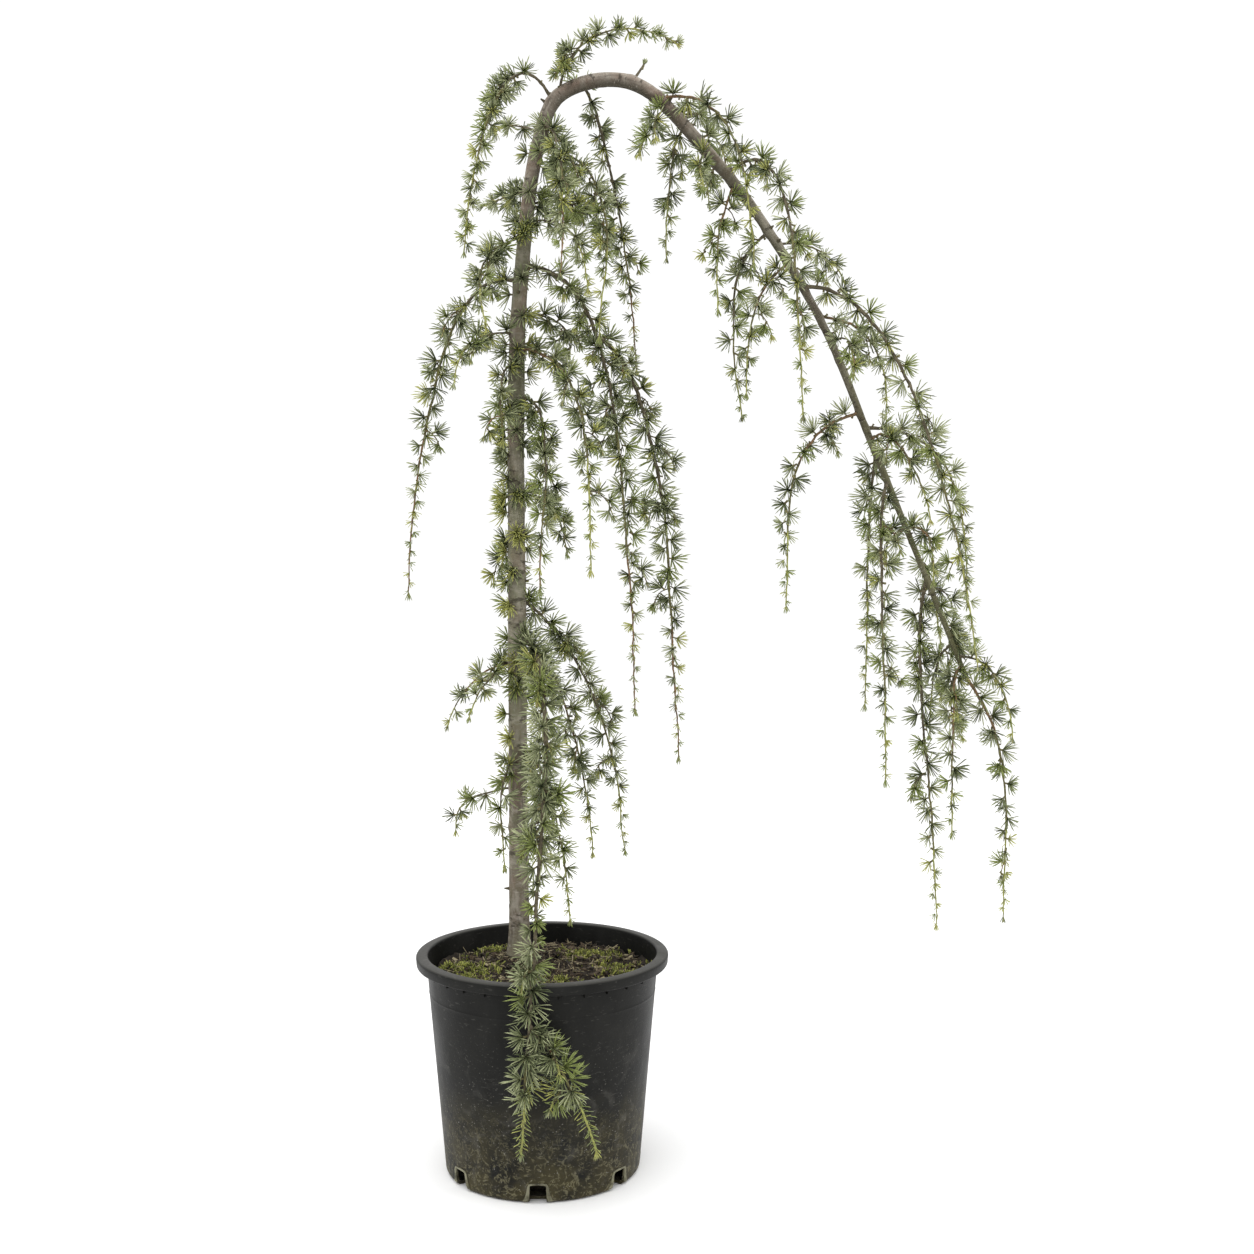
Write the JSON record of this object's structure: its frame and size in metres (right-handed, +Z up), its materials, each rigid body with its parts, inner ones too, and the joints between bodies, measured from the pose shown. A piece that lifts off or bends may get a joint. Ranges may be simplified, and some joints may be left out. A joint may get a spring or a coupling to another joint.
{
  "type": "weeping blue atlas cedar in nursery pot",
  "caption": "Young weeping conifer in a round black nursery pot: one leading stem that arches over and hangs to one side, with thin hanging shoots of needle rosettes.",
  "frame": {"origin": "centre of the pot's flat underside", "axes": "+Z up; +X towards the side that the arching leader hangs to; +Y away from the front"},
  "size_m": [0.7203, 0.3558, 1.2592],
  "materials": {
    "pot_plastic": "matt black moulded plastic with dust and a little algae",
    "potting_mix": "loose dark bark compost",
    "bark": "smooth grey-brown young bark",
    "needles": "matt blue-green needles on green-brown twigs"
  },
  "bodies": {
    "root": {"pot": "pot_plastic", "soil": "potting_mix", "trunk": "bark", "arch": "bark", "leader_upper": "bark", "leader_lower": "bark", "crown_spray_01": "needles", "crown_spray_02": "needles", "crown_spray_03": "needles", "left_spray_01": "needles", "left_spray_02": "needles", "left_spray_03": "needles", "left_spray_04": "needles", "left_spray_05": "needles", "left_spray_06": "needles", "left_spray_07": "needles", "left_spray_08": "needles", "left_spray_09": "needles", "right_spray_01": "needles", "right_spray_02": "needles", "right_spray_03": "needles", "right_spray_04": "needles", "right_spray_05": "needles", "right_spray_06": "needles", "right_spray_07": "needles", "right_spray_08": "needles", "right_spray_09": "needles", "right_spray_10": "needles", "right_spray_11": "needles", "right_spray_12": "needles", "right_spray_13": "needles", "right_spray_14": "needles", "leader_spray_01": "needles", "leader_spray_02": "needles", "leader_spray_03": "needles", "leader_spray_04": "needles", "leader_spray_05": "needles", "leader_spray_06": "needles", "leader_spray_07": "needles", "leader_spray_08": "needles", "leader_spray_09": "needles", "leader_spray_10": "needles", "leader_spray_11": "needles", "leader_spray_12": "needles", "leader_spray_13": "needles", "leader_spray_14": "needles", "leader_spray_15": "needles", "leader_spray_16": "needles", "leader_spray_17": "needles", "leader_spray_18": "needles", "leader_spray_19": "needles", "leader_spray_20": "needles", "leader_spray_21": "needles", "leader_spray_22": "needles", "leader_spray_23": "needles", "leader_spray_24": "needles", "leader_spray_25": "needles", "leader_spray_26": "needles", "leader_spray_27": "needles", "leader_spray_28": "needles"}
  },
  "joints": []
}
